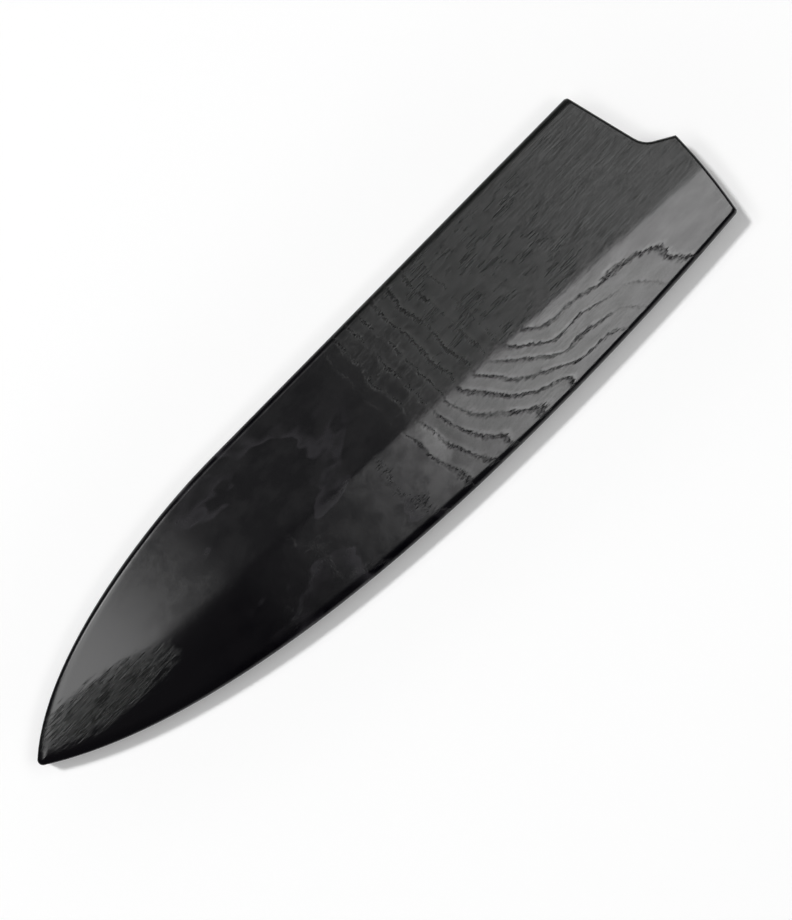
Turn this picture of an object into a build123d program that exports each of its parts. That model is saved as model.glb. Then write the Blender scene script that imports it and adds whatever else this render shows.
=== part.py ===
from build123d import *
import math
import os

# Knife blade guard: a flat wooden sheath for a 210 mm chef's knife, in black-stained ash.
# Three layers are glued face to face: a back panel, a thin frame of strips that leaves the
# slot for the blade open at the mouth, and a front panel. Disc magnets sit in blind wells in
# the slot side of both panels, under thin wooden plugs, and hold the blade.
# Frame: +X points out of the mouth, +Y to the spine side, +Z up through the front panel.
# The origin is at the middle of the bottom of the bounding box. Millimetres and degrees.

# Overall size, over the nose and the beak, and over the two long sides
length = 224.0
width = 53.2

# Layers
panel_thickness = 5.0
slot_thickness = 2.8

# Tip: a small round nose, above the middle of the width, that leaves at an angle to X
# towards each long side
nose_rise = 3.7
nose_radius = 1.4
nose_spine_angle = 41.2
nose_edge_angle = 32.7

# Long sides: the spine side curves from the nose and then runs straight to the mouth.
# The edge side swells to its widest place, and from there draws in on a shallow arc.
# The pull shares are the curves' handles, as shares of each curve's length along X.
spine_curve_length = 84.4
heel_length = 67.0
heel_arc_radius = 850.0
spine_pull_shares = (0.31, 0.25)
belly_pull_shares = (0.28, 0.339)

# Mouth: a slanted lip on the spine side, a hollow, and a beak over the heel of the blade.
# Setbacks are measured from the beak towards the tip, rises from the middle of the width.
lip_setback = 12.5
hollow_setback = 7.3
hollow_rise = 4.7
hollow_radius = 6.0
beak_rise = 0.4
heel_setback = 2.5
heel_bow_radius = 160.0
lip_corner_radius = 1.2
heel_corner_radius = 1.2

# Outer faces: a flat, a long bevel beside the cutting edge whose ridge runs from the nose to
# the mouth, and a slight taper towards the tip, which the bevel follows down. The bevel's
# width is measured at the mouth, and its drop over that width.
bevel_width = 17.2
bevel_drop = 2.0
taper_length = 68.0
taper_drop = 2.4
rim_radius = 0.8

# Strips that frame the slot
spine_strip_width = 3.0
edge_strip_width = 3.2
tip_block_length = 10.0

# Magnets in their wells, and the plugs over them. The place shares run along the slot,
# from the tip block to the lip.
magnet_diameter = 8.0
magnet_thickness = 2.0
magnet_clearance = 0.1
plug_thickness = 0.8
plug_clearance = 0.05
magnet_to_spine_strip = 7.0
magnet_place_shares = {"tip": 0.25, "middle": 0.55, "heel": 0.85}

# How far a cutting block reaches past what it cuts
overrun = 5.0

slot_floor = panel_thickness
slot_ceiling = panel_thickness + slot_thickness
well_radius = magnet_diameter / 2 + magnet_clearance
well_depth = plug_thickness + magnet_thickness + magnet_clearance


def at(from_tip, rise):
    """A point of the plan, from its distance to the tip and its rise over the mid-width."""
    return (from_tip - length / 2, rise)


def along(start, angle, distance):
    """The point at a distance from another, in a direction given in degrees from X."""
    turn = math.radians(angle)
    return (start[0] + distance * math.cos(turn), start[1] + distance * math.sin(turn))


def long_side(side, inset=0.0):
    """A long side's curve, from the nose to where it runs along X.

    side is 1 for the spine and -1 for the cutting edge. inset moves the curve inwards.
    """
    if side > 0:
        angle, reach, pulls = nose_spine_angle, spine_curve_length, spine_pull_shares
    else:
        angle, reach, pulls = nose_edge_angle, length - heel_length, belly_pull_shares
    nose_centre = at(nose_radius, nose_rise)
    start = along(nose_centre, side * (angle + 90), nose_radius - inset)
    end = at(reach, side * (width / 2 - inset))
    return Bezier(
        start,
        along(start, side * angle, reach * pulls[0]),
        along(end, 180, reach * pulls[1]),
        end,
    )


def heel_side(run, inset=0.0):
    """The edge side's arc from the widest place, as far along X as run."""
    radius = heel_arc_radius - inset
    centre = at(length - heel_length, heel_arc_radius - width / 2)
    half_turn = math.degrees(math.asin(run / radius)) / 2
    points = [along(centre, -90 + turn * half_turn, radius) for turn in range(3)]
    return ThreePointArc(*points)


def round_corner(plan, corner, radius):
    """The plan with the corner nearest to a point rounded."""
    return fillet(plan.vertices().sort_by_distance(corner)[0], radius)


def outline():
    """The guard's plan, as one face."""
    spine = long_side(1)
    belly = long_side(-1)
    nose = ThreePointArc(belly @ 0, at(0, nose_rise), spine @ 0)
    heel = heel_side(heel_length - heel_setback)
    lip = Vector(*at(length - lip_setback, width / 2))
    hollow = Vector(*at(length - hollow_setback, hollow_rise))
    beak = Vector(*at(length, beak_rise))
    plan = make_face(
        [
            nose,
            spine,
            Line(spine @ 1, lip),
            Line(lip, hollow),
            Line(hollow, beak),
            RadiusArc(beak, heel @ 1, heel_bow_radius),
            heel,
            belly,
        ]
    )
    plan = round_corner(plan, hollow, hollow_radius)
    plan = round_corner(plan, lip, lip_corner_radius)
    return round_corner(plan, heel @ 1, heel_corner_radius)


def block_above(place, fall):
    """The block above a plane through a place on the panel's flat.

    fall points down the plane, and its length is the drop over each millimetre.
    """
    plane = Plane(
        origin=(place.X, place.Y, panel_thickness),
        z_dir=fall + Plane.XY.z_dir,
    )
    side = 2 * length
    return plane * Box(side, side, side, align=(Align.CENTER, Align.CENTER, Align.MIN))


def outer_faces(panel):
    """The panel with its long bevel and its taper cut, which cross at one place."""
    nose = Vector(*at(0, nose_rise + nose_radius))
    mouth = Vector(*at(length, bevel_width - width / 2))
    ridge = mouth - nose
    bevel_fall = Vector(ridge.Y, -ridge.X).normalized() * bevel_drop / bevel_width
    taper_fall = Vector(-taper_drop / taper_length, 0)
    crossing = nose + ridge * taper_length / length
    panel -= block_above(crossing, bevel_fall)
    panel -= block_above(crossing, taper_fall)
    return panel - block_above(crossing, bevel_fall + taper_fall)


def rounded_rim(panel):
    """The panel with the rim of its outer side rounded, no rounder than the plan's corners."""
    rim = [
        edge
        for face in panel.faces()
        for edge in face.edges()
        if face.bounding_box().min.Z < rim_radius < edge.bounding_box().min.Z
    ]
    return fillet(rim, min(rim_radius, nose_radius, lip_corner_radius, heel_corner_radius))


def magnet_places():
    """Name and place of each magnet in the plan."""
    start = tip_block_length
    reach = length - lip_setback - tip_block_length
    rise = width / 2 - spine_strip_width - magnet_to_spine_strip
    return {name: at(start + share * reach, rise) for name, share in magnet_place_shares.items()}


def disc(place, radius, bottom, top):
    """An upright disc between two heights."""
    height = top - bottom
    upward = (Align.CENTER, Align.CENTER, Align.MIN)
    return Pos(*place, bottom) * Cylinder(radius, height, align=upward)


def panel_blank():
    """A panel with its slot side down at Z = 0 and its outer side up."""
    panel = rounded_rim(outer_faces(extrude(outline(), panel_thickness)))
    for place in magnet_places().values():
        panel -= disc(place, well_radius, -overrun, well_depth)
    return panel


def magnet(place):
    """A disc magnet, resting on its plug."""
    return disc(place, magnet_diameter / 2, plug_thickness, plug_thickness + magnet_thickness)


def plug(place):
    """The thin wooden disc that closes a well, flush with the slot side."""
    return disc(place, well_radius - plug_clearance, 0, plug_thickness)


def frame_layer():
    """The whole plan at the slot's height, before it is divided."""
    return Pos(0, 0, slot_floor) * extrude(outline(), slot_thickness)


def tip_region():
    """Everything between the tip and the end of the slot, over the frame layer's height."""
    lowest = (Align.MIN, Align.CENTER, Align.MIN)
    block = Box(tip_block_length + overrun, 2 * width, slot_thickness, align=lowest)
    return Pos(*at(-overrun, 0), slot_floor) * block


def strip_region(side):
    """Everything between one wall of the slot and well outside that long side."""
    inset = spine_strip_width if side > 0 else edge_strip_width
    wall = long_side(side, inset)
    if side > 0:
        to_mouth = Line(wall @ 1, ((wall @ 1).X + length, (wall @ 1).Y))
    else:
        to_mouth = heel_side(heel_length + overrun, inset)
    outside = side * width
    back = Polyline(
        to_mouth @ 1,
        ((to_mouth @ 1).X, outside),
        ((wall @ 0).X, outside),
        wall @ 0,
    )
    region = make_face([wall, to_mouth, *back.edges()])
    return Pos(0, 0, slot_floor) * extrude(region, slot_thickness)


def side_strip(side):
    """The strip between the slot and one long side."""
    return (frame_layer() & strip_region(side)) - tip_region()


def tip_block():
    """The block that ends the slot at the tip."""
    return frame_layer() & tip_region()


def to_front(shape):
    """A panel's piece, moved to the front of the guard."""
    return Pos(0, 0, slot_ceiling) * shape


def to_back(shape):
    """A panel's piece, turned over to the back of the guard."""
    return Pos(0, 0, slot_floor) * mirror(shape, about=Plane.XY)


def pieces():
    """Every piece of the guard under its name."""
    blank = panel_blank()
    made = {
        "front_panel": to_front(blank),
        "back_panel": to_back(blank),
        "spine_strip": side_strip(1),
        "edge_strip": side_strip(-1),
        "tip_block": tip_block(),
    }
    for name, place in magnet_places().items():
        for panel, move in (("front", to_front), ("back", to_back)):
            made[f"{panel}_magnet_{name}"] = move(magnet(place))
            made[f"{panel}_plug_{name}"] = move(plug(place))
    return made


os.makedirs("parts", exist_ok=True)
for name, shape in pieces().items():
    export_step(shape, f"parts/{name}.step")
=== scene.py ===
"""Knife blade guard in black-stained ash: the looks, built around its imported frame.

The guard is glued up from a back panel, a thin frame of strips around the slot and a front
panel. Everything is in metres, in the frame's own axes: +X out of the mouth, +Y towards the
spine side, +Z up through the front panel, and the guard lies on Z = 0.
"""

from __future__ import annotations

import logging
import math
from collections.abc import Callable
from dataclasses import dataclass
from enum import Enum

import bmesh
import bpy
import numpy as np
from mathutils import Matrix, Vector

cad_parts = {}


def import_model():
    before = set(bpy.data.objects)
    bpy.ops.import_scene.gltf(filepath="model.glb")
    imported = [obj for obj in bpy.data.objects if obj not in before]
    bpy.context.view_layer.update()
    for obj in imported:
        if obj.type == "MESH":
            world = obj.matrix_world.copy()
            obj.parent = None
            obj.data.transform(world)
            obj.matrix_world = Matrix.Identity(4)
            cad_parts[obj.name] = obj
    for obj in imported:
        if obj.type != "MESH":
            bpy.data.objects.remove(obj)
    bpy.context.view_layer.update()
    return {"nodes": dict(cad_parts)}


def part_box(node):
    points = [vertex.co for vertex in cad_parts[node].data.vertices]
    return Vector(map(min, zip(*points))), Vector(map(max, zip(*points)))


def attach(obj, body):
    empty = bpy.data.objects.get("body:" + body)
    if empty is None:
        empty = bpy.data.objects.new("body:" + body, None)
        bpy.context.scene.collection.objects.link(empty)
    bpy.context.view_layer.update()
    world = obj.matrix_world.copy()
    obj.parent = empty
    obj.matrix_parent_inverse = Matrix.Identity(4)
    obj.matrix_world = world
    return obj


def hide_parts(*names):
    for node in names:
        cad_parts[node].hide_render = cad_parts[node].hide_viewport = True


LOG = logging.getLogger("guard")
MM = 0.001
BODY = "root"
MERGE_DISTANCE = 0.001 * MM
Pair = tuple[float, float]
Triple = tuple[float, float, float]
Array = np.ndarray
BMesh = bmesh.types.BMesh
Material, Object = bpy.types.Material, bpy.types.Object
Socket, Tree = bpy.types.NodeSocket, bpy.types.NodeTree


class Side(Enum):
    """A long side of the guard, by the sign of its Y."""

    SPINE = 1
    EDGE = -1


class Face(Enum):
    """An outer face of the guard, by the sign of its Z."""

    FRONT = 1
    BACK = -1


def unit(vector: Array) -> Array:
    """The vector at a length of one."""
    return vector / np.linalg.norm(vector)


def turned(angle: float) -> Array:
    """The unit vector at an angle from X, in radians."""
    return np.array([math.cos(angle), math.sin(angle)])


def blend(first: Array | float, second: Array | float, share: Array) -> Array:
    """The first value at a share of 0, the second at 1, and a straight change between them."""
    return first + (second - first) * share


def smooth_share(values: Array, low: float, high: float) -> Array:
    """0 below one value, 1 above another, and an even S between them."""
    share = np.clip((values - low) / (high - low), 0, 1)
    return share * share * (3 - 2 * share)


def arc(centre: Array, radius: float, start: float, end: float, steps: int = 24) -> Array:
    """Points along a circle's arc between two angles in radians."""
    angles = np.linspace(start, end, steps + 1)
    return np.array([centre + radius * turned(angle) for angle in angles])


def bezier(handles: list[Array], steps: int = 400) -> Array:
    """Points along a cubic curve.

    Args:
        handles: The curve's start, its two pulls and its end.
        steps: How many steps the curve is divided into.

    Returns:
        One row per point.
    """
    share = np.linspace(0, 1, steps + 1)[:, None]
    rest = 1 - share
    weights = (rest**3, 3 * share * rest**2, 3 * share**2 * rest, share**3)
    return sum(weight * handle for weight, handle in zip(weights, handles))


def round_join(before: Array, after: Array, radius: float, steps: int = 10) -> tuple[Array, Array]:
    """Rounds the corner where one path ends and the next begins.

    Args:
        before: The path that ends at the corner.
        after: The path that starts at the corner.
        radius: The radius of the rounding.
        steps: How many steps each half of the rounding gets.

    Returns:
        Both paths, which now meet in the middle of the rounding.
    """
    corner = before[-1]
    inward, outward = unit(corner - before[-2]), unit(after[1] - corner)
    turn = math.acos(float(np.clip(inward @ outward, -1, 1)))
    reach = radius * math.tan(turn / 2)
    centre = corner + unit(outward - inward) * radius / math.cos(turn / 2)
    first, last = corner - inward * reach - centre, corner + outward * reach - centre
    shares = np.linspace(0, 1, 2 * steps + 1)[:, None]
    spokes = np.sin((1 - shares) * turn) * first + np.sin(shares * turn) * last
    bend = centre + spokes / math.sin(turn)
    kept_before = before[np.linalg.norm(before - corner, axis=1) > reach]
    kept_after = after[np.linalg.norm(after - corner, axis=1) > reach]
    return np.vstack([kept_before, bend[: steps + 1]]), np.vstack([bend[steps:], kept_after])


def along(path: Array, shares: Array) -> Array:
    """The points at given shares of a path's length."""
    lengths = np.append(0, np.cumsum(np.linalg.norm(np.diff(path, axis=0), axis=1)))
    return np.column_stack([np.interp(shares * lengths[-1], lengths, axis) for axis in path.T])


def at_distance(path: Array, from_tip: Array) -> Array:
    """The points of a path at given distances from the tip along X."""
    return np.column_stack([from_tip, np.interp(from_tip, path[:, 0], path[:, 1])])


def up_to(path: Array, from_tip: float) -> Array:
    """The stretch of a path as far as a distance from the tip along X."""
    return np.vstack([path[path[:, 0] < from_tip], at_distance(path, np.array([from_tip]))])


def distance_to(path: Array, points: Array, batch: int = 1000) -> Array:
    """Measures how far points lie from the nearest stretch of a path.

    Args:
        path: The path, one row per point.
        points: The points to measure from.
        batch: About how many points are measured at once.

    Returns:
        One distance per point.
    """
    starts, runs = path[:-1], np.diff(path, axis=0)
    squares = (runs**2).sum(axis=1)
    found = []
    for group in np.array_split(points, max(1, len(points) // batch)):
        offset = group[:, None, :] - starts[None]
        share = np.clip((offset * runs).sum(axis=2) / squares, 0, 1)
        gap = offset - share[..., None] * runs
        found.append(np.sqrt((gap**2).sum(axis=2).min(axis=1)))
    return np.concatenate(found)


@dataclass(frozen=True)
class Spacing:
    """How steps grow from both ends of a distance towards its middle."""

    growth: float
    largest: float
    samples: int = 20001

    def places(self, total: float, first: float, last: float) -> Array:
        """Divides a distance.

        Args:
            total: The distance.
            first: The step at the start.
            last: The step at the end.

        Returns:
            The places in order, from 0 to the distance.
        """
        fine = np.linspace(0, total, self.samples)
        from_start, from_end = first + self.growth * fine, last + self.growth * (total - fine)
        step = np.minimum(self.largest, np.minimum(from_start, from_end))
        count = np.append(0, np.cumsum(np.diff(fine) * 2 / (step[1:] + step[:-1])))
        return np.interp(np.linspace(0, count[-1], math.ceil(count[-1]) + 1), count, fine)


@dataclass(frozen=True)
class GuardPlan:
    """The guard's outline from above, in distances from the tip and rises over mid-width.

    The spine side runs straight to the mouth, and the edge side swells and draws in again.
    The mouth has a slanted lip, a hollow, and a beak over the blade's heel. Setbacks are
    measured from the beak. Pull shares are the handles of the two curves.
    """

    length: float
    width: float
    nose_rise: float = 3.7 * MM
    nose_radius: float = 1.4 * MM
    nose_spine_angle: float = math.radians(41.2)
    nose_edge_angle: float = math.radians(32.7)
    spine_curve_length: float = 84.4 * MM
    heel_length: float = 67.0 * MM
    heel_arc_radius: float = 850.0 * MM
    spine_pull_shares: Pair = (0.31, 0.25)
    belly_pull_shares: Pair = (0.28, 0.339)
    lip_setback: float = 12.5 * MM
    hollow_setback: float = 7.3 * MM
    hollow_rise: float = 4.7 * MM
    hollow_radius: float = 6.0 * MM
    beak_rise: float = 0.4 * MM
    heel_setback: float = 2.5 * MM
    heel_bow_radius: float = 160.0 * MM
    lip_corner_radius: float = 1.2 * MM
    heel_corner_radius: float = 1.2 * MM

    @property
    def widest(self) -> float:
        """How far the widest place lies from the tip."""
        return self.length - self.heel_length

    @property
    def nose_centre(self) -> Array:
        """The centre of the nose's arc."""
        return np.array([self.nose_radius, self.nose_rise])

    @property
    def beak(self) -> Array:
        """The point of the beak."""
        return np.array([self.length, self.beak_rise])

    def nose_angle(self, side: Side) -> float:
        """The angle at which a long side leaves the nose, away from X."""
        return self.nose_spine_angle if side is Side.SPINE else self.nose_edge_angle

    def nose(self, side: Side) -> Array:
        """The nose's arc from the very tip to the start of a long side's curve."""
        end = side.value * (self.nose_angle(side) + math.pi / 2)
        return arc(self.nose_centre, self.nose_radius, side.value * math.pi, end)

    def curve(self, side: Side, inset: float = 0.0) -> Array:
        """A long side from the nose to where it runs along X.

        Args:
            side: Which long side.
            inset: How far the curve is moved inwards.

        Returns:
            One row per point.
        """
        if side is Side.SPINE:
            reach, pulls = self.spine_curve_length, self.spine_pull_shares
        else:
            reach, pulls = self.widest, self.belly_pull_shares
        sign, angle = side.value, self.nose_angle(side)
        outward = turned(sign * (angle + math.pi / 2))
        start = self.nose_centre + (self.nose_radius - inset) * outward
        end = np.array([reach, sign * (self.width / 2 - inset)])
        pull_start = start + reach * pulls[0] * turned(sign * angle)
        pull_end = end - np.array([reach * pulls[1], 0])
        return bezier([start, pull_start, pull_end, end])

    def to_mouth(self, side: Side, past: float = 0.0, inset: float = 0.0) -> Array:
        """A long side's stretch from the end of its curve to the mouth.

        Args:
            side: Which long side.
            past: How far the stretch goes on past its corner.
            inset: How far it is moved inwards.

        Returns:
            One row per point.
        """
        if side is Side.SPINE:
            rise = self.width / 2 - inset
            end = self.length - self.lip_setback + past
            return np.array([[self.spine_curve_length, rise], [end, rise]])
        run = self.heel_length - self.heel_setback + past
        centre = np.array([self.widest, self.heel_arc_radius - self.width / 2])
        down = -math.pi / 2
        radius = self.heel_arc_radius - inset
        return arc(centre, radius, down, down + math.asin(run / radius))

    def outer_side(self, side: Side) -> Array:
        """A long side from the tip to its unrounded corner at the mouth."""
        return np.vstack([self.nose(side), self.curve(side)[1:], self.to_mouth(side)[1:]])

    def lip_path(self) -> Array:
        """The mouth from the lip's corner through the hollow to the beak.

        Returns:
            One row per point.
        """
        lip = np.array([self.length - self.lip_setback, self.width / 2])
        hollow = np.array([self.length - self.hollow_setback, self.hollow_rise])
        slant, rise = np.array([lip, hollow]), np.array([hollow, self.beak])
        first, second = round_join(slant, rise, self.hollow_radius)
        return np.vstack([first, second[1:]])

    def bow_path(self) -> Array:
        """The mouth from the beak along its bowed end to the heel's corner.

        Returns:
            One row per point.
        """
        corner = self.to_mouth(Side.EDGE)[-1]
        chord = corner - self.beak
        half = math.asin(np.linalg.norm(chord) / 2 / self.heel_bow_radius)
        away = unit(np.array([chord[1], -chord[0]]))
        centre = (self.beak + corner) / 2 + away * self.heel_bow_radius * math.cos(half)
        first = math.atan2(*(self.beak - centre)[::-1])
        return arc(centre, self.heel_bow_radius, first, first - 2 * half)

    def rims(self) -> dict[str, Array]:
        """Divides the outline in the middle of its rounded corners.

        Returns:
            The outline's four stretches under their names.
        """
        spine_side, edge_side = self.outer_side(Side.SPINE), self.outer_side(Side.EDGE)
        spine, lip = round_join(spine_side, self.lip_path(), self.lip_corner_radius)
        edge, bow = round_join(edge_side, self.bow_path()[::-1], self.heel_corner_radius)
        return {"spine": spine, "lip": lip, "bow": bow[::-1], "edge": edge}


@dataclass(frozen=True)
class OuterForm:
    """How high a panel's outer face stands over its slot side.

    It has a flat, a long bevel beside the cutting edge whose ridge runs from the nose to the
    mouth and is softer towards the tip, and a taper that the bevel follows down. The rims of
    the long sides are rounded more than the mouth's.
    """

    plan: GuardPlan
    thickness: float
    bevel_width: float = 17.2 * MM
    bevel_drop: float = 2.0 * MM
    taper_length: float = 68.0 * MM
    taper_drop: float = 2.4 * MM
    softness: float = 0.05 * MM
    tip_softness: float = 0.24 * MM
    rim_depth: float = 1.2 * MM
    tip_rim_depth: float = 0.62 * MM
    spine_rim_width: float = 1.9 * MM
    edge_rim_width: float = 2.8 * MM
    heel_rim_width: float = 1.5 * MM
    tip_rim_width: float = 2.5 * MM
    mouth_rim: float = 0.8 * MM

    def face_height(self, points: Array) -> Array:
        """The outer face's height, before the rim is rounded.

        Args:
            points: Places in the plan.

        Returns:
            One height per place.
        """
        nose = np.array([0, self.plan.nose_rise + self.plan.nose_radius])
        mouth = np.array([self.plan.length, self.bevel_width - self.plan.width / 2])
        run = unit(mouth - nose)
        past_ridge = (points - nose) @ np.array([run[1], -run[0]])
        past_taper = self.taper_length - points[:, 0]
        middle = self.plan.length / 2
        towards_tip = 1 - smooth_share(points[:, 0], self.taper_length / 2, middle)
        ridge_softness = blend(self.softness, self.tip_softness, towards_tip)
        bevel = self.eased(past_ridge * self.bevel_drop / self.bevel_width, ridge_softness)
        taper = self.eased(past_taper * self.taper_drop / self.taper_length, self.softness)
        return self.thickness - bevel - taper

    def eased(self, drop: Array, softness: Array | float) -> Array:
        """The drop below the flat, with the crease where it starts softened."""
        return softness * np.logaddexp(0, drop / softness)

    def rounding(self, gap: Array, width: Array | float, depth: Array | float) -> Array:
        """How far a rounded rim drops at a distance from the outline."""
        share = np.clip(1 - gap / width, 0, 1)
        return depth * (1 - np.sqrt(1 - share**2))

    def height(self, points: Array) -> Array:
        """The finished outer face's height over the slot side.

        Args:
            points: Places in the plan.

        Returns:
            One height per place.
        """
        rims = self.plan.rims()
        towards_tip = 1 - smooth_share(points[:, 0], 0, self.taper_length)
        towards_mouth = smooth_share(points[:, 0], self.plan.length / 2, self.plan.widest)
        spine_width = blend(self.spine_rim_width, self.tip_rim_width, towards_tip)
        edge_width = blend(self.edge_rim_width, self.tip_rim_width, towards_tip)
        edge_width += (self.heel_rim_width - self.edge_rim_width) * towards_mouth
        depth = blend(self.rim_depth, self.tip_rim_depth, towards_tip)
        mouth = np.vstack([rims["lip"], rims["bow"][1:]])
        drops = [
            self.rounding(distance_to(rims["spine"], points), spine_width, depth),
            self.rounding(distance_to(rims["edge"], points), edge_width, depth),
            self.rounding(distance_to(mouth, points), self.mouth_rim, self.mouth_rim),
        ]
        return self.face_height(points) - np.max(drops, axis=0)


def linked(name: str, data: bpy.types.ID) -> Object:
    """Puts data into the scene.

    Args:
        name: The new object's name.
        data: Its mesh, lamp or camera.

    Returns:
        The new object.
    """
    holder = bpy.data.objects.new(name, data)
    bpy.context.scene.collection.objects.link(holder)
    return holder


def new_object(name: str, shell: BMesh, sharp_angle: float) -> Object:
    """Turns a finished bmesh into an object with smooth faces and sharp creases.

    Args:
        name: The piece's name.
        shell: The bmesh, which is freed.
        sharp_angle: The angle between faces, in radians, past which an edge is sharp.

    Returns:
        The new object, linked to the scene.
    """
    bmesh.ops.recalc_face_normals(shell, faces=shell.faces)
    for edge in shell.edges:
        edge.smooth = edge.is_manifold and edge.calc_face_angle() < sharp_angle
    for face in shell.faces:
        face.smooth = True
    mesh = bpy.data.meshes.new(name)
    shell.to_mesh(mesh)
    shell.free()
    return linked(name, mesh)


@dataclass(frozen=True)
class Sheet:
    """A flat sheet between a near and a far path that both run with X, closed by an end.

    The end is a function from shares of the way across to rows of X and Y. The lines across
    the sheet are straight at its start and bend to the end's shape by a power of the way.
    """

    near: Array
    far: Array
    end: Callable[[Array], Array]
    end_power: float
    start: float = 0.0

    @property
    def reach(self) -> float:
        """How far the near path runs past the sheet's start."""
        return self.near[-1, 0] - self.start

    def places(self, station: Array, line: Array) -> Array:
        """Finds where the corners of a grid over the sheet lie.

        Args:
            station: Each corner's distance from the start, on the near path.
            line: Each corner's share of the way across.

        Returns:
            One row of X and Y per corner.
        """
        share, across = station / self.reach, line[:, None]
        near = at_distance(self.near, self.start + station)
        far = at_distance(self.far, blend(self.start, self.far[-1, 0], share))
        straight = (1 - across) * self.near[-1] + across * self.far[-1]
        bend = (share**self.end_power)[:, None] * (self.end(line) - straight)
        return (1 - across) * near + across * far + bend

    def grid(self, stations: Array, lines: Array, height: Callable[[Array], Array]) -> BMesh:
        """Makes the sheet as a mesh.

        Args:
            stations: The grid's distances from the start.
            lines: The grid's shares of the way across.
            height: A function from rows of X and Y to heights.

        Returns:
            The grid, with coinciding vertices merged.
        """
        grid = bmesh.new()
        along_x, along_y = len(stations) - 1, len(lines) - 1
        bmesh.ops.create_grid(grid, x_segments=along_x, y_segments=along_y, size=1)
        fresh = np.round([vertex.co[:2] for vertex in grid.verts], 6)
        columns, rows = (np.unique(fresh[:, axis], return_inverse=True)[1] for axis in (0, 1))
        flat = self.places(stations[columns], lines[rows])
        for vertex, spot, rise in zip(grid.verts, flat, height(flat)):
            vertex.co = (*spot, rise)
        bmesh.ops.remove_doubles(grid, verts=grid.verts, dist=MERGE_DISTANCE)
        return grid


@dataclass(frozen=True)
class Wells:
    """The blind wells for the magnets, in a panel whose slot side is down at zero."""

    places: tuple[Pair, ...]
    radius: float
    depth: float
    segments: int = 48


@dataclass(frozen=True)
class Panel:
    """One of the two wooden plates, with its blind wells for the magnets.

    Its mesh is made with the slot side down at zero and then moved or turned to its place.
    The board is where it was cut from, in millimetres.
    """

    form: OuterForm
    face: Face
    slot_side: float
    wells: Wells
    board: Triple
    seam_easing: float = 0.1 * MM
    nose_step: float = 0.03 * MM
    rim_step: float = 0.06 * MM
    spacing: Spacing = Spacing(growth=0.14, largest=1.3 * MM)
    beak_share: float = 0.52
    mouth_power: float = 7.0
    sharp_angle: float = math.radians(40)

    @property
    def node(self) -> str:
        """The name of the frame's node that the panel stands for."""
        return f"{self.face.name.lower()}_panel"

    def mouth(self, line: Array) -> Array:
        """Places along the mouth, with the beak at its own share of the way.

        Args:
            line: Shares of the way from the spine side to the edge side.

        Returns:
            One row per share.
        """
        rims = self.form.plan.rims()
        lip = along(rims["lip"], np.clip(line / self.beak_share, 0, 1))
        past_beak = (line - self.beak_share) / (1 - self.beak_share)
        bow = along(rims["bow"], np.clip(past_beak, 0, 1))
        return np.where(line[:, None] <= self.beak_share, lip, bow)

    def top(self) -> BMesh:
        """Stretches the outer face between the four rims.

        Returns:
            The outer face as an open grid.
        """
        rims, span = self.form.plan.rims(), self.form.plan.width
        sheet = Sheet(rims["spine"], rims["edge"], self.mouth, self.mouth_power)
        stations = self.spacing.places(sheet.reach, self.nose_step, self.rim_step)
        to_beak, from_beak = (
            self.spacing.places(share * span, self.rim_step, self.rim_step)
            for share in (self.beak_share, 1 - self.beak_share)
        )
        lines = np.append(to_beak, to_beak[-1] + from_beak[1:]) / span
        return sheet.grid(stations, lines, self.form.height)

    def add_slot_side(self, shell: BMesh) -> None:
        """Adds the wall, the eased seam, the flat slot side and the wells.

        Args:
            shell: The outer face, which becomes a closed panel.
        """
        rim = [edge for edge in shell.edges if edge.is_boundary]
        wall = bmesh.ops.extrude_edge_only(shell, edges=rim)["geom"]
        loop = [item for item in wall if isinstance(item, bmesh.types.BMEdge) and item.is_boundary]
        for vertex in {vertex for edge in loop for vertex in edge.verts}:
            vertex.co.z = self.seam_easing
        cap = bmesh.ops.contextual_create(shell, geom=loop)["faces"]
        bmesh.ops.recalc_face_normals(shell, faces=shell.faces)
        easing = self.seam_easing
        bmesh.ops.inset_region(shell, faces=cap, thickness=easing, depth=easing)
        floor_edges = list(cap[0].edges)
        bmesh.ops.delete(shell, geom=cap, context="FACES_ONLY")
        wells, well_edges = self.wells, []
        for spot in wells.places:
            shift = Matrix.Translation((*spot, 0))
            circle = bmesh.ops.create_circle(
                shell, segments=wells.segments, radius=wells.radius, matrix=shift
            )
            well_edges += list({edge for vertex in circle["verts"] for edge in vertex.link_edges})
        bmesh.ops.triangle_fill(shell, edges=floor_edges + well_edges, use_beauty=True)
        sides = bmesh.ops.extrude_edge_only(shell, edges=well_edges)["geom"]
        for vertex in {item for item in sides if isinstance(item, bmesh.types.BMVert)}:
            vertex.co.z = self.wells.depth
        open_edges = [edge for edge in shell.edges if edge.is_boundary]
        bmesh.ops.edgeloop_fill(shell, edges=open_edges)

    def build(self) -> Object:
        """Builds the panel.

        Returns:
            The panel as an object in its place.
        """
        shell = self.top()
        self.add_slot_side(shell)
        bmesh.ops.scale(shell, vec=(1, 1, self.face.value), verts=shell.verts)
        shift = Vector((-self.form.plan.length / 2, 0, self.slot_side))
        bmesh.ops.translate(shell, vec=shift, verts=shell.verts)
        return new_object(f"{self.node}_shell", shell, self.sharp_angle)

    def dress(self, panel: Object, ash: StainedAsh) -> None:
        """Gives the panel ash from its own board, and its place in the frame."""
        wood = ash.build(f"{self.node}_ash", self.board, self.face.value)
        dress(panel, wood, "stained_ash_panel", self.node)


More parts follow.
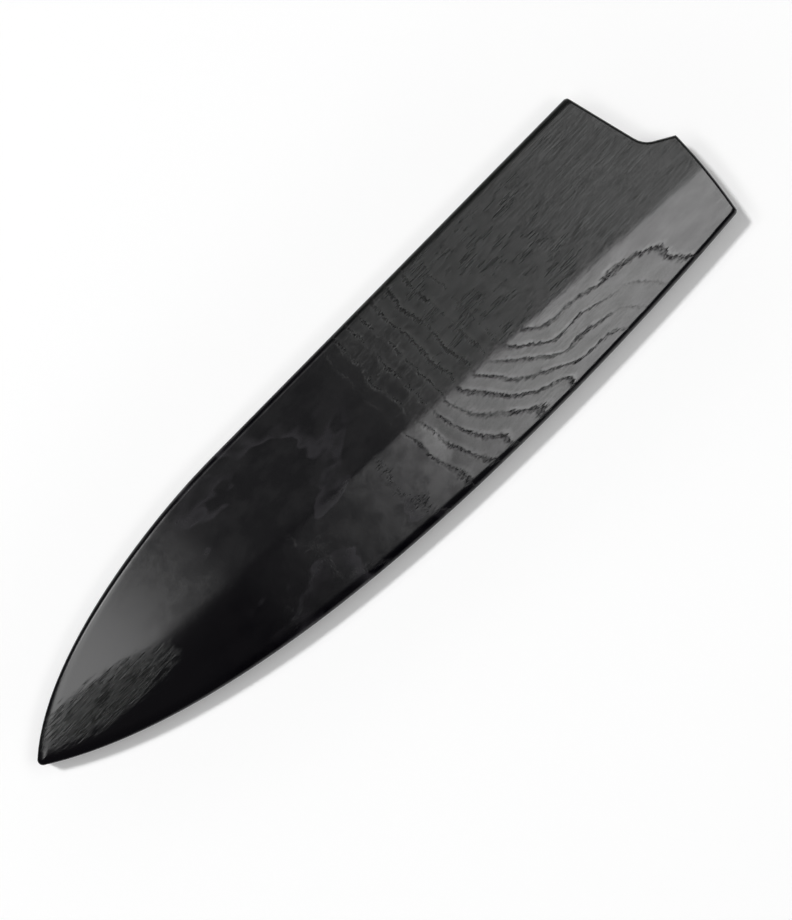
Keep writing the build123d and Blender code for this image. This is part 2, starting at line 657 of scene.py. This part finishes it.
@dataclass(frozen=True)
class SlotFrame:
    """The thin layer of wood around the slot: two strips and the block at the tip.

    The board is where the wood was cut from, in millimetres.
    """

    plan: GuardPlan
    bottom: float
    top: float
    block_length: float
    board: Triple = (150.0, 300.0, 80.0)
    spine_strip_width: float = 3.0 * MM
    edge_strip_width: float = 3.2 * MM
    seam_easing: float = 0.08 * MM
    end_step: float = 0.08 * MM
    nose_step: float = 0.04 * MM
    spacing: Spacing = Spacing(growth=0.14, largest=1.5 * MM)
    strip_lines: int = 6
    block_lines: int = 12
    mouth_power: float = 9.0
    sharp_angle: float = math.radians(30)

    def level(self, flat: Array) -> Array:
        """The layer's bottom under every place."""
        return np.full(len(flat), self.bottom)

    def thickened(self, name: str, sheet: Sheet, first_step: float, lines: int) -> Object:
        """Makes a sheet as thick as the layer and eases its long edges.

        Args:
            name: The piece's name.
            sheet: The piece's plan.
            first_step: The step between the first two stations.
            lines: How many rows of faces the plan is divided into.

        Returns:
            The piece as an object.
        """
        stations = self.spacing.places(sheet.reach, first_step, self.end_step)
        shell = sheet.grid(stations, np.linspace(0, 1, lines + 1), self.level)
        rims = [edge for edge in shell.edges if edge.is_boundary]
        raised = bmesh.ops.extrude_face_region(shell, geom=shell.faces, use_keep_orig=True)["geom"]
        upper = {item for item in raised if isinstance(item, bmesh.types.BMVert)}
        bmesh.ops.translate(shell, vec=(0, 0, self.top - self.bottom), verts=list(upper))
        rims += [
            edge
            for edge in shell.edges
            if upper.issuperset(edge.verts)
            and any(not upper.issuperset(face.verts) for face in edge.link_faces)
        ]
        bmesh.ops.bevel(
            shell,
            geom=rims,
            offset=self.seam_easing,
            offset_type="OFFSET",
            segments=1,
            profile=0.5,
            affect="EDGES",
            material=-1,
        )
        bmesh.ops.translate(shell, vec=(-self.plan.length / 2, 0, 0), verts=shell.verts)
        return new_object(f"{name}_shell", shell, self.sharp_angle)

    def mouth_end(self, side: Side, mouth: Array, wall: Array) -> Array:
        """The mouth's rim from a corner of the guard to where the slot's wall meets it.

        Args:
            side: Which long side the corner belongs to.
            mouth: The rim from that corner on.
            wall: The slot's wall on that side.

        Returns:
            One row per point.
        """
        outside = (mouth[:, 1] - np.interp(mouth[:, 0], wall[:, 0], wall[:, 1])) * side.value
        last = int(np.argmin(outside > 0))
        share = outside[last - 1] / (outside[last - 1] - outside[last])
        return np.vstack([mouth[:last], blend(mouth[last - 1], mouth[last], share)])

    def strip(self, side: Side) -> Object:
        """Builds the strip between the slot and one long side.

        Args:
            side: Which long side.

        Returns:
            The strip as an object.
        """
        rims = self.plan.rims()
        if side is Side.SPINE:
            inset, outer, mouth = self.spine_strip_width, rims["spine"], rims["lip"]
        else:
            inset, outer, mouth = self.edge_strip_width, rims["edge"], rims["bow"][::-1]
        to_mouth = self.plan.to_mouth(side, past=self.plan.lip_setback, inset=inset)
        wall = np.vstack([self.plan.curve(side, inset), to_mouth[1:]])
        end = self.mouth_end(side, mouth, wall)
        inner = up_to(wall, end[-1, 0])
        sheet = Sheet(
            outer, inner, lambda line: along(end, line), self.mouth_power, self.block_length
        )
        name = f"{side.name.lower()}_strip"
        return self.thickened(name, sheet, self.end_step, self.strip_lines)

    def block(self) -> Object:
        """Builds the block between the nose and the end of the slot.

        Returns:
            The block as an object.
        """
        near, far = (up_to(self.plan.outer_side(side), self.block_length) for side in Side)
        end = np.array([near[-1], far[-1]])
        sheet = Sheet(near, far, lambda line: along(end, line), self.mouth_power)
        return self.thickened("tip_block", sheet, self.nose_step, self.block_lines)

    def build(self) -> dict[str, Object]:
        """Builds the layer's pieces under the names of the nodes that they stand for."""
        strips = {f"{side.name.lower()}_strip": self.strip(side) for side in Side}
        return {**strips, "tip_block": self.block()}

    def dress(self, pieces: dict[str, Object], ash: StainedAsh) -> None:
        """Gives the layer's pieces ash from one board, and their places in the frame.

        Args:
            pieces: The pieces under their nodes' names.
            ash: Their finish.
        """
        wood = ash.build("strip_ash", self.board)
        for node, piece in pieces.items():
            dress(piece, wood, "stained_ash_strip", node)


@dataclass(frozen=True)
class Magnets:
    """The disc magnets and the plugs over them, which keep the shapes of the frame's nodes."""

    names: tuple[str, ...] = ("tip", "middle", "heel")
    plug_clearance: float = 0.05 * MM
    magnet_clearance: float = 0.1 * MM
    plug_board: Triple = (900.0, 500.0, 10.0)

    def wells(self, plan: GuardPlan, slot_side: float) -> Wells:
        """Measures the wells that they sit in.

        Args:
            plan: The guard's outline.
            slot_side: The height of the front panel's slot side.

        Returns:
            The wells.
        """
        plugs = [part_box(f"front_plug_{name}") for name in self.names]
        magnets = [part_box(f"front_magnet_{name}") for name in self.names]
        middles = [(low + high) / 2 for low, high in plugs]
        places = tuple((middle.x + plan.length / 2, middle.y) for middle in middles)
        radius = max(high.x - low.x for low, high in plugs) / 2 + self.plug_clearance
        top = max(high.z for low, high in magnets) + self.magnet_clearance
        return Wells(places, radius, top - slot_side)

    def dress(self, nodes: dict[str, Object], nickel: NickelPlate, ash: StainedAsh) -> None:
        """Gives the frame's magnets and plugs their materials.

        Args:
            nodes: The frame's nodes under their names.
            nickel: The magnets' finish.
            ash: The plugs' finish.
        """
        plate, wood = nickel.build("magnet_nickel"), ash.build("plug_ash", self.plug_board)
        for face in Face:
            for name in self.names:
                for kind, material in (("magnet", plate), ("plug", wood)):
                    node = nodes[f"{face.name.lower()}_{kind}_{name}"]
                    node.data.materials.clear()
                    node.data.materials.append(material)
                    LOG.info("%s keeps its shape", node.name)


class Field:
    """A number or a colour that varies over a surface, as one output of a shader node.

    Sums, products and comparisons of fields add the nodes that work them out.
    """

    MIX_INPUTS = (6, 7)
    MIX_OUTPUT = 2

    def __init__(self, tree: Tree, socket: Socket) -> None:
        """Keeps the output and the node tree that holds it."""
        self.tree = tree
        self.socket = socket

    @classmethod
    def of_node(
        cls, tree: Tree, kind: str, output: str | int, inputs: Inputs, **settings: str | bool
    ) -> Field:
        """Adds a shader node.

        Args:
            tree: The node tree to add to.
            kind: The end of the node type's name.
            output: Which of its outputs the field is.
            inputs: What its inputs are given.
            settings: The node's own settings.

        Returns:
            The output as a field.
        """
        node = tree.nodes.new(f"ShaderNode{kind}")
        for name, value in settings.items():
            setattr(node, name, value)
        feed(node, inputs)
        return cls(tree, node.outputs[output])

    def apply(self, operation: str, *others: Field | float, clamp: bool = False) -> Field:
        """This field and other fields or plain numbers through a Math node."""
        inputs = dict(enumerate((self, *others)))
        return self.of_node(self.tree, "Math", 0, inputs, operation=operation, use_clamp=clamp)

    def __add__(self, other: Field | float) -> Field:
        """The sum with another field or number."""
        return self.apply("ADD", other)

    def __sub__(self, other: Field | float) -> Field:
        """The difference from another field or number."""
        return self.apply("SUBTRACT", other)

    def __mul__(self, other: Field | float) -> Field:
        """The product with another field or number."""
        return self.apply("MULTIPLY", other)

    def or_more(self, other: Field) -> Field:
        """The larger of this field and another."""
        return self.apply("MAXIMUM", other)

    def flipped(self) -> Field:
        """One minus this field."""
        return self * -1.0 + 1.0

    def fading_by(self, loss: float) -> Field:
        """1 where this field is 0, and less by the loss where it is 1."""
        return self * -loss + 1.0

    def from_least(self, least: float) -> Field:
        """This field, squeezed into the range from a least value to 1."""
        return self * (1.0 - least) + least

    def step(self, low: float, high: float) -> Field:
        """0 below one value, 1 above another, and an even S between them."""
        inputs, curve = {"Value": self, "From Min": low, "From Max": high}, "SMOOTHSTEP"
        return self.of_node(self.tree, "MapRange", "Result", inputs, interpolation_type=curve)

    def ramp(self, low: float, high: float) -> Field:
        """0 up to one value, 1 from another, and a straight rise between them."""
        return (self - low).apply("DIVIDE", high - low, clamp=True)

    def mix(self, first: Field | Triple, second: Triple) -> Field:
        """Blends two colours.

        Args:
            first: The colour where this field is 0.
            second: The colour where it is 1.

        Returns:
            The blend.
        """
        inputs = {"Factor": self}
        for index, colour in zip(self.MIX_INPUTS, (first, second)):
            inputs[index] = colour if isinstance(colour, Field) else (*colour, 1)
        return self.of_node(self.tree, "Mix", self.MIX_OUTPUT, inputs, data_type="RGBA")


Inputs = dict[str | int, Field | float | tuple[float, ...]]


def feed(node: bpy.types.Node, inputs: Inputs) -> None:
    """Gives a node's inputs what they need.

    Args:
        node: The node.
        inputs: Fields to link or plain values to set, under the inputs' names or numbers.
    """
    for key, value in inputs.items():
        if isinstance(value, Field):
            value.tree.links.new(value.socket, node.inputs[key])
        else:
            node.inputs[key].default_value = value


@dataclass(frozen=True)
class Noise:
    """Noise that follows the fibres.

    size is its grains' length along X, Y and Z in millimetres, detail how many finer layers
    are added, and roughness how strong those are. Marks rise from 0 to 1 between its limits,
    and a shift ranges over its sway.
    """

    size: Triple
    detail: float
    roughness: float = 0.5
    limits: Pair = (0.0, 1.0)
    sway: float = 1.0


class Grain:
    """Places in a board and the noises that follow its fibres, in millimetres."""

    def __init__(self, tree: Tree, board: Triple = (0, 0, 0), flip: float = 1.0) -> None:
        """Sets up the board's own coordinates.

        Args:
            tree: The material's node tree.
            board: Where this piece was cut from.
            flip: -1 for a piece whose outer face points down, otherwise 1.
        """
        self.tree = tree
        scale = (1 / MM, 1 / MM, flip / MM)
        metres = Field.of_node(tree, "TexCoord", "Object", {})
        places = Field.of_node(tree, "Mapping", 0, {"Vector": metres, "Scale": scale})
        self.cut = self.changed(places, "ADD", board)
        self.x, self.y, self.z = (
            Field.of_node(tree, "SeparateXYZ", axis, {0: places}) for axis in "XYZ"
        )

    def changed(self, places: Field, operation: str, vector: Triple) -> Field:
        """Places changed by a plain vector."""
        inputs = {0: places, 1: vector}
        return Field.of_node(self.tree, "VectorMath", 0, inputs, operation=operation)

    def noise(self, noise: Noise) -> Field:
        """A noise as it is.

        Args:
            noise: Which noise.

        Returns:
            Values from 0 to 1 around 0.5.
        """
        inputs = {"Scale": 1.0, "Detail": noise.detail, "Roughness": noise.roughness}
        inputs["Vector"] = self.changed(self.cut, "DIVIDE", noise.size)
        return Field.of_node(self.tree, "TexNoise", "Fac", inputs)

    def marks(self, noise: Noise) -> Field:
        """Where a noise marks places, from 0 to 1."""
        return self.noise(noise).step(*noise.limits)

    def shift(self, noise: Noise) -> Field:
        """How far a noise shifts places, to both sides of 0."""
        return (self.noise(noise) - 0.5) * noise.sway

    def span(self, rise: Pair, fall: Pair) -> Field:
        """1 over a stretch of X that begins within one range and ends within another."""
        return self.x.step(*rise) * self.x.step(*fall).flipped()


@dataclass(frozen=True)
class Oval:
    """An oval in the plan, in millimetres, which may lean: its lean is rise over run."""

    centre: Pair
    reach: Pair
    lean: float = 0.0

    def square(self, grain: Grain) -> Field:
        """Measures how far places lie from the oval's middle.

        Args:
            grain: The board's places.

        Returns:
            The square of the distance, which is 1 on the oval.
        """
        run, rise = grain.x - self.centre[0], grain.y - self.centre[1]
        lengthwise = run * (1 / self.reach[0])
        across = (rise - run * self.lean) * (1 / self.reach[1])
        return lengthwise * lengthwise + across * across


@dataclass(frozen=True)
class Mark:
    """What a feature of the board does to its lacquered surface where it shows.

    roughness is added, dulling is the share of the sheen that is lost, and height is how far
    the surface rises in millimetres.
    """

    roughness: float = 0.0
    dulling: float = 0.0
    height: float = 0.0


def total(parts: list[Field]) -> Field:
    """The sum of several fields."""
    return sum(parts[1:], parts[0])


def new_material(name: str) -> tuple[Material, bpy.types.Node]:
    """Starts a material.

    Args:
        name: Its name.

    Returns:
        The material and its shader.
    """
    material = bpy.data.materials.new(name)
    material.use_nodes = True
    return material, material.node_tree.nodes["Principled BSDF"]


@dataclass(frozen=True)
class StainedAsh:
    """Ash stained black under a thin satin lacquer, with its pores left open.

    Colours are linear. Lengths and heights are in millimetres. The board is cut nearly along
    its growth rings: the flat shows only their cross bands, on the bevel the same rings bend
    towards the mouth and close in an arch, and the middle of the board is dense and smooth.
    """

    smooth_wood: Triple = (0.0034, 0.0031, 0.0040)
    cloudy_wood: Triple = (0.0007, 0.0005, 0.0014)
    # A real pale band in the grain, painted lighter than the wood: part of this colour is painted
    # sheen
    smoky_wood_and_painted_sheen: Triple = (0.0185, 0.0174, 0.0202)
    streaky_wood: Triple = (0.0046, 0.0052, 0.0047)
    pore: Triple = (0.0008, 0.0008, 0.0008)
    sheen: float = 0.50
    sheen_gain: float = 1.15
    roughness: float = 0.15
    ridge_middle: float = -2.2
    ridge_slope: float = -0.0630

    # Growth rings: a few before the bands, the bands, and the arch in which they lag
    first_ring: float = -62.0
    sparse_rings: float = 3.0
    first_band: float = 9.0
    last_band: float = 54.0
    band_count: float = 9.0
    band_thinning: float = 1.15
    arch_reach: Pair = (1.5, 18.0)
    arch_rings: float = 3.7
    arch_start: Pair = (5.0, 58.0)
    arch_close: Pair = (60.0, 101.0)
    rings_per_depth: float = 0.2
    ring_warp: Noise = Noise((15.0, 9.0, 9.0), 1.0, sway=1.1)
    ring_fraying: Noise = Noise((2.6, 0.34, 0.34), 2.0, 0.6, sway=0.5)

    # Where the rings show, how far apart they are there, and how wide their pores reach
    sparse_spacing: float = 23.7
    dense_spacing: float = 4.5
    wide_spacing: float = 7.0
    dense_start: Pair = (4.0, 12.0)
    wide_start: Pair = (48.0, 64.0)
    ring_width: float = 1.35
    ring_edge_share: float = 0.1
    pale_share: float = 0.2
    ring_patches: Noise = Noise((9.0, 3.5, 3.5), 1.0, limits=(0.30, 0.60))
    faintest_ring: float = 0.25
    inner_arches: Pair = (0.75, 1.0)
    inner_arch_fade: Pair = (58.0, 76.0)
    inner_arch_loss: float = 0.85
    bevel_rim: Pair = (-1.0, 2.0)
    bevel_rings_start: Pair = (-50.0, 0.0)
    flat_rings_rise: Pair = (-12.0, 6.0)
    flat_rings_start: Pair = (8.0, 18.0)
    flat_rings_end: Pair = (34.0, 52.0)

    # Open grain on the mouth's half and in a patch at the tip
    streaky_edge: Noise = Noise((14.0, 5.0, 5.0), 2.0, 0.6, sway=14.0)
    streaky_start: Pair = (2.0, 38.0)
    streaky_rim: Pair = (-0.5, 1.5)
    streaks_on_bevel: float = 0.15
    tip_patch: Oval = Oval((-89.0, 3.4), (20.0, 5.4), -0.17)
    tip_patch_edge: Pair = (0.20, 1.50)
    tip_patch_shift: float = 0.05
    tip_patch_fraying: Noise = Noise((5.0, 0.6, 0.6), 3.0, 0.6, sway=2.4)
    tip_patch_density: float = 0.6
    pore_density: float = 0.62
    calm_start: Pair = (55.0, 95.0)
    calming: float = 0.5
    patchiness: Noise = Noise((8.0, 3.0, 3.0), 2.0, limits=(0.35, 0.65))
    least_patch: float = 0.4
    dashes: Noise = Noise((3.4, 0.28, 0.28), 2.0, limits=(0.40, 0.68))
    specks: Noise = Noise((1.6, 0.30, 0.30), 1.0, limits=(0.48, 0.62))
    streaks: Noise = Noise((9.0, 0.26, 0.26), 1.0, limits=(0.42, 0.60))
    glints: Noise = Noise((2.2, 0.36, 0.36), 1.0, limits=(0.58, 0.70))

    # Pale smoke bands of the grain, lighter in colour as painted sheen; clouds and billows in the
    # dense middle; blotches and a bright spot past it
    smoke_billows: Noise = Noise((34.0, 17.0, 17.0), 3.0, 0.55)
    smoke_front: Pair = (0.0, 0.025)
    smoke_back: Pair = (0.0, 0.11)
    smoke_patches: Noise = Noise((9.0, 5.0, 5.0), 3.0, limits=(0.28, 0.60))
    smoke_start: Pair = (-50.0, -42.0)
    smoke_end: Pair = (-6.0, 10.0)
    clouds: Noise = Noise((8.0, 5.0, 5.0), 4.0, 0.6, limits=(0.36, 0.62))
    clouds_start: Pair = (-75.0, -50.0)
    clouds_end: Pair = (0.0, 25.0)
    billows: Noise = Noise((13.0, 8.0, 8.0), 2.0)
    billows_start: Pair = (-60.0, -30.0)
    blotches: Noise = Noise((7.0, 2.2, 2.2), 3.0, 0.6)
    blotches_start: Pair = (0.0, 20.0)
    bright_spot: Oval = Oval((15.0, -11.2), (3.0, 6.0))
    bright_spot_edge: Pair = (0.3, 1.3)
    bright_spot_fraying: Noise = Noise((2.5, 1.5, 1.5), 2.0, sway=1.6)

    streaky_mark: Mark = Mark(roughness=0.08)
    tip_patch_mark: Mark = Mark(roughness=0.05)
    pore_mark: Mark = Mark(roughness=0.10, dulling=0.55, height=-0.050)
    ring_mark: Mark = Mark(roughness=0.08, dulling=0.20, height=-0.024)
    streak_mark: Mark = Mark(dulling=0.15, height=-0.009)
    raised_mark: Mark = Mark(dulling=-0.40)
    cloud_mark: Mark = Mark(roughness=0.05, dulling=0.45, height=0.006)
    billow_mark: Mark = Mark(height=0.060)
    blotch_mark: Mark = Mark(dulling=0.60)
    bright_spot_mark: Mark = Mark(dulling=-0.80)

    def past_ridge(self, grain: Grain) -> Field:
        """How far a place lies past the bevel's ridge, towards the cutting edge."""
        return (grain.y - grain.x * self.ridge_slope - self.ridge_middle) * -1.0

    def arch(self, grain: Grain) -> Field:
        """How many rings the bevel's arch lags behind the bands beside it."""
        opened = grain.span(self.arch_start, self.arch_close)
        return self.past_ridge(grain).ramp(*self.arch_reach) * opened * self.arch_rings

    def ring_count(self, grain: Grain) -> Field:
        """Counts the growth rings before a place.

        Args:
            grain: The board's places.

        Returns:
            The count, which is a whole number at each ring's edge.
        """
        sparse = grain.x.ramp(self.first_ring, self.first_band) * self.sparse_rings
        to_last = grain.x.ramp(self.first_band, self.last_band).flipped()
        bands = to_last.apply("POWER", self.band_thinning).flipped() * self.band_count
        count = sparse + bands - self.arch(grain) + grain.z * self.rings_per_depth
        return count + grain.shift(self.ring_warp) + grain.shift(self.ring_fraying)

    def ring_strength(self, grain: Grain) -> Field:
        """Finds how strongly the rings show.

        Args:
            grain: The board's places.

        Returns:
            1 where they show fully.
        """
        inner = self.arch(grain).step(*self.inner_arches)
        fading = inner * grain.x.step(*self.inner_arch_fade)
        patches = grain.marks(self.ring_patches).from_least(self.faintest_ring)
        on_bevel = self.past_ridge(grain).step(*self.bevel_rim)
        on_bevel = on_bevel * grain.x.step(*self.bevel_rings_start)
        on_flat = grain.span(self.flat_rings_start, self.flat_rings_end)
        on_flat = on_flat * grain.y.step(*self.flat_rings_rise)
        return patches * fading.fading_by(self.inner_arch_loss) * on_bevel.or_more(on_flat)

    def ring_lines(self, grain: Grain) -> tuple[Field, Field]:
        """Draws the growth rings.

        Args:
            grain: The board's places.

        Returns:
            The open-pored early wood, and the pale dense wood before it.
        """
        x = grain.x
        spacing = x.step(*self.dense_start).flipped() * (self.sparse_spacing - self.dense_spacing)
        spacing += x.step(*self.wide_start) * (self.wide_spacing - self.dense_spacing)
        spacing += self.dense_spacing
        phase = self.ring_count(grain).apply("FRACT")
        gap, past = phase.flipped() * spacing, phase * spacing
        strength = self.ring_strength(grain)
        edge, pale = self.ring_edge_share * self.ring_width, self.pale_share * self.ring_width
        early = gap.step(0.0, self.ring_width).flipped() * gap.step(0.0, edge)
        dense = past.step(0.0, pale) * past.step(pale, self.ring_width).flipped()
        return early * strength, dense * strength

    def streaky(self, grain: Grain) -> tuple[Field, Field]:
        """Finds where the board is open-grained.

        Args:
            grain: The board's places.

        Returns:
            The mouth's half, and the patch at the tip.
        """
        edge = grain.shift(self.streaky_edge)
        on_flat = self.past_ridge(grain).step(*self.streaky_rim).flipped()
        mouth_half = (grain.x + edge).step(*self.streaky_start)
        fraying = edge * self.tip_patch_shift + grain.shift(self.tip_patch_fraying)
        patch = (self.tip_patch.square(grain) + fraying).step(*self.tip_patch_edge).flipped()
        return mouth_half * on_flat.from_least(self.streaks_on_bevel), patch

    def smoke_and_painted_sheen(self, grain: Grain) -> Field:
        """Draws the pale bands that wander over the dense middle, lighter in colour as painted
        sheen.

        Args:
            grain: The board's places.

        Returns:
            The bands, sharp on one side and fading on the other.
        """
        height = grain.shift(self.smoke_billows)
        band = height.step(*self.smoke_front) * height.step(*self.smoke_back).flipped()
        middle = grain.span(self.smoke_start, self.smoke_end)
        return band * middle * grain.marks(self.smoke_patches)

    def bright(self, grain: Grain) -> Field:
        """The bright spot where the bevel's shine starts."""
        frayed = self.bright_spot.square(grain) + grain.shift(self.bright_spot_fraying)
        return frayed.step(*self.bright_spot_edge).flipped()

    def build(self, name: str, board: Triple = (0, 0, 0), flip: float = 1.0) -> Material:
        """Makes the material for one board.

        Args:
            name: The material's name.
            board: Where the piece was cut from.
            flip: -1 for a piece whose outer face points down, otherwise 1.

        Returns:
            The material.
        """
        material, shader = new_material(name)
        tree = material.node_tree
        grain = Grain(tree, board, flip)
        lines, pale = self.ring_lines(grain)
        mouth_half, tip_patch = self.streaky(grain)
        streaky = mouth_half.or_more(tip_patch)
        patchy = grain.marks(self.patchiness).from_least(self.least_patch)
        calm = grain.x.step(*self.calm_start).fading_by(self.calming)
        density = tip_patch * self.tip_patch_density + self.pore_density
        dashes = grain.marks(self.dashes) * patchy * streaky * calm * density
        pores = dashes.or_more(grain.marks(self.specks) * lines)
        raised = (grain.marks(self.glints) * streaky * patchy).or_more(pale)
        clouds = grain.marks(self.clouds) * grain.span(self.clouds_start, self.clouds_end)
        marks = [
            (streaky, self.streaky_mark),
            (tip_patch, self.tip_patch_mark),
            (pores, self.pore_mark),
            (lines, self.ring_mark),
            (grain.marks(self.streaks) * streaky, self.streak_mark),
            (raised, self.raised_mark),
            (clouds, self.cloud_mark),
            (grain.noise(self.billows) * grain.x.step(*self.billows_start), self.billow_mark),
            (grain.shift(self.blotches) * grain.x.step(*self.blotches_start), self.blotch_mark),
            (self.bright(grain), self.bright_spot_mark),
        ]
        wood = clouds.mix(self.smooth_wood, self.cloudy_wood)
        # The smoke bands are grain, and their lighter colour is painted sheen
        wood = self.smoke_and_painted_sheen(grain).mix(wood, self.smoky_wood_and_painted_sheen)
        wood = streaky.mix(wood, self.streaky_wood)
        rough = total([field * mark.roughness for field, mark in marks if mark.roughness])
        loss = total([field * mark.dulling for field, mark in marks if mark.dulling])
        relief = total([field * mark.height for field, mark in marks if mark.height])
        inputs = {
            "Base Color": pores.mix(wood, self.pore),
            "Roughness": rough + self.roughness,
            "Specular IOR Level": loss * -self.sheen + self.sheen * self.sheen_gain,
            "Normal": Field.of_node(tree, "Bump", "Normal", {"Distance": MM, "Height": relief}),
        }
        feed(shader, inputs)
        return material


@dataclass(frozen=True)
class NickelPlate:
    """Bright nickel plate on a magnet, with faint clouds."""

    tint: Triple = (0.66, 0.63, 0.58)
    shade: float = 0.9
    roughness: float = 0.18
    cloudiness: float = 0.14
    clouds: Noise = Noise((1.6, 1.6, 1.6), 3.0)

    def build(self, name: str) -> Material:
        """Makes the material.

        Args:
            name: The material's name.

        Returns:
            The material.
        """
        material, shader = new_material(name)
        clouds = Grain(material.node_tree).noise(self.clouds)
        shaded = tuple(self.shade * tone for tone in self.tint)
        inputs = {
            "Metallic": 1.0,
            "Roughness": clouds * self.cloudiness + self.roughness,
            "Base Color": clouds.mix(self.tint, shaded),
        }
        feed(shader, inputs)
        return material


@dataclass(frozen=True)
class PaleFloor:
    """The plain pale surface that the guard lies on.

    To the eye and in gloss it shows a little brighter than its lamps make it, so that it
    is near white and keeps a light shadow.
    """

    tone: float = 0.88
    glow: float = 0.145
    radius: float = 4.0
    segments: int = 64

    def build(self) -> None:
        """Makes the floor as a wide disc under the guard."""
        disc = bmesh.new()
        bmesh.ops.create_circle(disc, cap_ends=True, segments=self.segments, radius=self.radius)
        floor = new_object("floor", disc, math.pi)
        material, shader = new_material("pale_floor")
        rays = ("Is Camera Ray", "Is Glossy Ray", "Is Transmission Ray")
        seen, *more = (Field.of_node(material.node_tree, "LightPath", ray, {}) for ray in rays)
        for other in more:
            seen = seen.or_more(other)
        inputs = {
            "Base Color": (self.tone, self.tone, self.tone, 1),
            "Roughness": 1.0,
            "Specular IOR Level": 0.0,
            "Emission Color": (1, 1, 1, 1),
            "Emission Strength": seen * self.glow,
        }
        feed(shader, inputs)
        floor.data.materials.append(material)


@dataclass(frozen=True)
class Softbox:
    """A rectangular lamp that hangs over the guard and shines straight down.

    Places and sizes are in metres. radiance is its brightness, where a white surface shows 1.
    """

    name: str
    centre: Pair
    size: Pair
    radiance: float
    height: float = 0.9

    def build(self) -> None:
        """Hangs up the lamp."""
        lamp = bpy.data.lights.new(self.name, "AREA")
        lamp.shape = "RECTANGLE"
        lamp.size, lamp.size_y = self.size
        lamp.energy = self.radiance * math.pi * self.size[0] * self.size[1]
        holder = linked(self.name, lamp)
        holder.matrix_world = Matrix.Translation((*self.centre, self.height))
        holder.visible_camera = False


@dataclass(frozen=True)
class Studio:
    """The camera, the lamps and the surroundings.

    The camera looks straight down with a long lens, turned so that the guard runs from the
    lower left to the upper right. Pixels are those of the 792 by 920 image. The key lamp is
    left out of reflections, because it would draw a bright line along the rounded rim.
    """

    image_height: float = 920.0
    metres_per_pixel: float = 0.2502 * MM
    look_at: Pair = (5.03 * MM, -6.70 * MM)
    outline_height: float = 11.4 * MM
    distance: float = 0.9
    axis_angle: float = math.radians(45.47)
    sensor: float = 36.0
    clip: Pair = (0.05, 20.0)
    softboxes: tuple[Softbox, ...] = (
        Softbox("heel_softbox", (0.19, -0.25), (0.32, 0.20), 5.2),
        Softbox("heel_edge_softbox", (0.0, -0.25), (0.06, 0.20), 1.2),
        Softbox("mouth_softbox", (0.30, 0.03), (0.36, 0.26), 2.35),
        Softbox("spine_softbox", (-0.05, 0.33), (0.30, 0.24), 0.9),
        Softbox("middle_softbox", (-0.04, 0.06), (0.28, 0.22), 0.24),
        Softbox("tip_softbox", (-0.31, 0.185), (0.22, 0.47), 3.7),
        Softbox("tip_rim_softbox", (-0.31, 0.50), (0.22, 0.16), 8.0),
    )
    key_share: float = 0.56
    key_softness: float = math.radians(6)
    shadow_run: Pair = (0.16, -0.47)
    dark_sky: float = 0.01
    walls: float = 0.8
    walls_top: Pair = (0.25, 0.45)

    def camera(self) -> None:
        """Makes the camera and hands it to the scene."""
        data = bpy.data.cameras.new("camera")
        data.sensor_width = self.sensor
        data.lens = self.sensor * self.distance / (self.image_height * self.metres_per_pixel)
        data.clip_start, data.clip_end = self.clip
        camera = linked("camera", data)
        place = Matrix.Translation((*self.look_at, self.outline_height + self.distance))
        camera.matrix_world = place @ Matrix.Rotation(-self.axis_angle, 4, "Z")
        bpy.context.scene.camera = camera

    def key(self) -> None:
        """Makes the lamp that casts the shadow."""
        lamp = bpy.data.lights.new("key", "SUN")
        lamp.energy = math.pi * self.key_share
        lamp.angle = self.key_softness
        holder = linked("key", lamp)
        holder.visible_glossy = False
        travel = Vector((*self.shadow_run, -1.0))
        holder.matrix_world = travel.to_track_quat("-Z", "Y").to_matrix().to_4x4()

    def surroundings(self) -> None:
        """A dark ceiling over pale walls, the same for every ray."""
        world = bpy.data.worlds.new("studio")
        bpy.context.scene.world = world
        world.use_nodes = True
        tree = world.node_tree
        way = Field.of_node(tree, "TexCoord", "Generated", {})
        rise = Field.of_node(tree, "SeparateXYZ", "Z", {0: way})
        glow = rise.step(*self.walls_top).flipped() * (self.walls - self.dark_sky) + self.dark_sky
        feed(tree.nodes["Background"], {"Strength": glow, "Color": (1, 1, 1, 1)})

    def build(self) -> None:
        """Sets up the camera, the lamps and the surroundings."""
        self.camera()
        for softbox in self.softboxes:
            softbox.build()
        self.key()
        self.surroundings()


def dress(piece: Object, material: Material, slot_name: str, *nodes: str) -> None:
    """Gives a new piece its material and its body, and hides the frame's nodes that it stands for.

    Args:
        piece: The new piece.
        material: Its material.
        slot_name: The material slot's name, which is not used.
        nodes: The frame's nodes that it replaces.
    """
    piece.data.materials.append(material)
    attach(piece, BODY)
    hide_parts(*nodes)
    LOG.info("%s stands for %s", piece.name, ", ".join(nodes))


def main() -> None:
    """Loads the frame, builds the guard around it and sets up the studio."""
    logging.basicConfig(level=logging.INFO, format="%(message)s")
    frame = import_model()
    bpy.context.scene.view_settings.view_transform = "Standard"

    front_low, front_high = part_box("front_panel")
    _, back_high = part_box("back_panel")
    block_low, block_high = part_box("tip_block")
    plan = GuardPlan(length=front_high.x - front_low.x, width=front_high.y - front_low.y)
    form = OuterForm(plan, thickness=front_high.z - front_low.z)
    magnets = Magnets()
    wells = magnets.wells(plan, front_low.z)
    ash = StainedAsh()

    for face, slot_side, board in (
        (Face.FRONT, front_low.z, (0.0, 0.0, 0.0)),
        (Face.BACK, back_high.z, (400.0, 90.0, 30.0)),
    ):
        panel = Panel(form, face, slot_side, wells, board)
        panel.dress(panel.build(), ash)

    layer = SlotFrame(plan, block_low.z, block_high.z, block_high.x - block_low.x)
    layer.dress(layer.build(), ash)
    magnets.dress(frame["nodes"], NickelPlate(), ash)

    Studio().build()
    PaleFloor().build()


if __name__ == "__main__":
    main()
